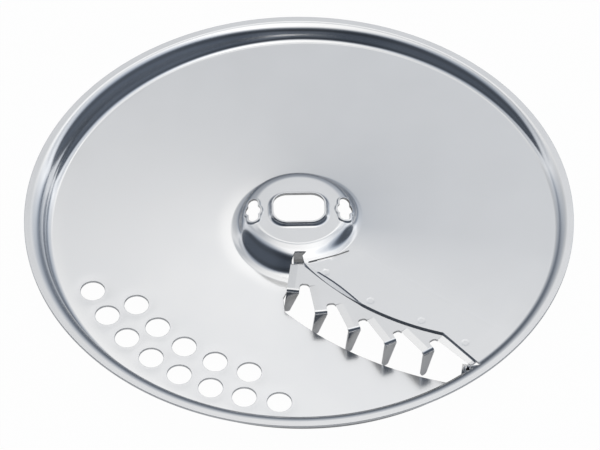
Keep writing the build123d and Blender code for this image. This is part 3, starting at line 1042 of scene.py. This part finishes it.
def white_share(nodes, links):
    """Share of the floor that is plain white: nearly all to the eye, and a little where it is mirrored."""
    path = nodes.new("ShaderNodeLightPath")
    mirrored = math_node(nodes, "MAXIMUM")
    mirrored_share = math_node(nodes, "MULTIPLY", FLOOR_MIRRORED)
    direct_share = math_node(nodes, "MULTIPLY", FLOOR_WHITE)
    share = math_node(nodes, "MAXIMUM")
    links.new(path.outputs["Is Glossy Ray"], mirrored.inputs[0])
    links.new(path.outputs["Is Transmission Ray"], mirrored.inputs[1])
    links.new(mirrored.outputs[0], mirrored_share.inputs[0])
    links.new(path.outputs["Is Camera Ray"], direct_share.inputs[0])
    links.new(mirrored_share.outputs[0], share.inputs[0])
    links.new(direct_share.outputs[0], share.inputs[1])
    return share.outputs[0]


def white_floor():
    """White that keeps a light shadow of the disc."""
    material, nodes, links = new_material("white_floor")
    shader = nodes["Principled BSDF"]
    shader.inputs["Base Color"].default_value = (FLOOR_TONE, FLOOR_TONE, FLOOR_TONE, 1)
    shader.inputs["Roughness"].default_value = FLOOR_ROUGHNESS
    shader.inputs["Specular IOR Level"].default_value = 0
    glow = nodes.new("ShaderNodeEmission")
    seen = nodes.new("ShaderNodeMixShader")
    links.new(white_share(nodes, links), seen.inputs["Fac"])
    links.new(shader.outputs["BSDF"], seen.inputs[1])
    links.new(glow.outputs["Emission"], seen.inputs[2])
    links.new(seen.outputs["Shader"], nodes["Material Output"].inputs["Surface"])
    return material


def floor():
    """Floor that the disc lies on."""
    bpy.ops.mesh.primitive_grid_add(x_subdivisions=8, y_subdivisions=8, size=FLOOR_SIZE)
    plane = bpy.context.object
    plane.name = "floor"
    plane.data.materials.append(white_floor())


def light_over_top(nodes, links, parts, sideways, front):
    """Light by the angle over the top, from the back to a front that leans round to the sides."""
    leaning = math_node(nodes, "MULTIPLY", FRONT_LEAN)
    lean = math_node(nodes, "MULTIPLY")
    back = math_node(nodes, "SUBTRACT")
    over = math_node(nodes, "ARCTAN2")
    turn = math_node(nodes, "DIVIDE", pi)
    sky = ramp(nodes, [(angle / 180, value) for angle, value in SKY])
    links.new(front, leaning.inputs[0])
    links.new(sideways, lean.inputs[0])
    links.new(leaning.outputs[0], lean.inputs[1])
    links.new(parts.outputs["Y"], back.inputs[0])
    links.new(lean.outputs[0], back.inputs[1])
    links.new(parts.outputs["Z"], over.inputs[0])
    links.new(back.outputs[0], over.inputs[1])
    links.new(over.outputs[0], turn.inputs[0])
    links.new(turn.outputs[0], sky.inputs["Fac"])
    return sky.outputs["Color"]


def share_to_sides(nodes, links, sideways, front):
    """Share of that light that is left towards the sides, at the back and over the front."""
    back_share = ramp(nodes, BACK_SHARE)
    front_share = ramp(nodes, FRONT_SHARE)
    share = colour_mix(nodes, "MIX")
    links.new(sideways, back_share.inputs["Fac"])
    links.new(sideways, front_share.inputs["Fac"])
    links.new(front, share.inputs["Factor"])
    links.new(back_share.outputs["Color"], share.inputs["A"])
    links.new(front_share.outputs["Color"], share.inputs["B"])
    return share.outputs["Result"]


def studio():
    """Soft studio all round: a bright ceiling, a lit back wall and a dark front, seen by the metal."""
    world = bpy.data.worlds.new("studio")
    bpy.context.scene.world = world
    world.use_nodes = True
    nodes, links = world.node_tree.nodes, world.node_tree.links
    place = nodes.new("ShaderNodeTexCoord")
    parts = nodes.new("ShaderNodeSeparateXYZ")
    sideways = math_node(nodes, "ABSOLUTE")
    front = map_range(nodes, FRONT_RANGE, (0, 1))
    gain = map_range(nodes, RIGHT_RANGE, RIGHT_GAIN)
    side_glow = ramp(nodes, SIDE_GLOW)
    dimmed = colour_mix(nodes, "MULTIPLY")
    lit = colour_mix(nodes, "ADD")
    links.new(place.outputs["Generated"], parts.inputs["Vector"])
    links.new(parts.outputs["X"], sideways.inputs[0])
    links.new(parts.outputs["X"], gain.inputs["Value"])
    links.new(parts.outputs["Y"], front.inputs["Value"])
    links.new(sideways.outputs[0], side_glow.inputs["Fac"])
    aside, ahead = sideways.outputs[0], front.outputs["Result"]
    links.new(light_over_top(nodes, links, parts, aside, ahead), dimmed.inputs["A"])
    links.new(share_to_sides(nodes, links, aside, ahead), dimmed.inputs["B"])
    links.new(dimmed.outputs["Result"], lit.inputs["A"])
    links.new(side_glow.outputs["Color"], lit.inputs["B"])
    links.new(lit.outputs["Result"], nodes["Background"].inputs["Color"])
    links.new(gain.outputs["Result"], nodes["Background"].inputs["Strength"])


def camera():
    """Camera far off, with a long lens."""
    data = bpy.data.cameras.new("camera")
    data.lens = LENS
    data.sensor_width = SENSOR
    data.shift_x, data.shift_y = CAMERA_SHIFT
    eye = bpy.data.objects.new("camera", data)
    bpy.context.scene.collection.objects.link(eye)
    height, turn = radians(CAMERA_HEIGHT), radians(CAMERA_TURN)
    towards = Vector((-cos(height) * sin(turn), -cos(height) * cos(turn), sin(height)))
    eye.location = Vector((0, 0, RIM_TOP * MM)) + towards * CAMERA_DISTANCE * MM
    eye.rotation_euler = (-towards).to_track_quat("-Z", "Y").to_euler()
    bpy.context.scene.camera = eye


def add_piece(piece, node, material):
    """A piece takes the place of its solid, with its own steel."""
    piece.data.materials.append(material)
    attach(piece, "root")
    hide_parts(node)


bpy.context.scene.view_settings.view_transform = "Standard"
studio()
floor()
camera()

add_piece(pressed_disc(), "disc_plate", steel("plate_steel", *PLATE_STEEL))
add_piece(stepped_blade(), "chip_blade", steel("blade_steel", *BLADE_STEEL))
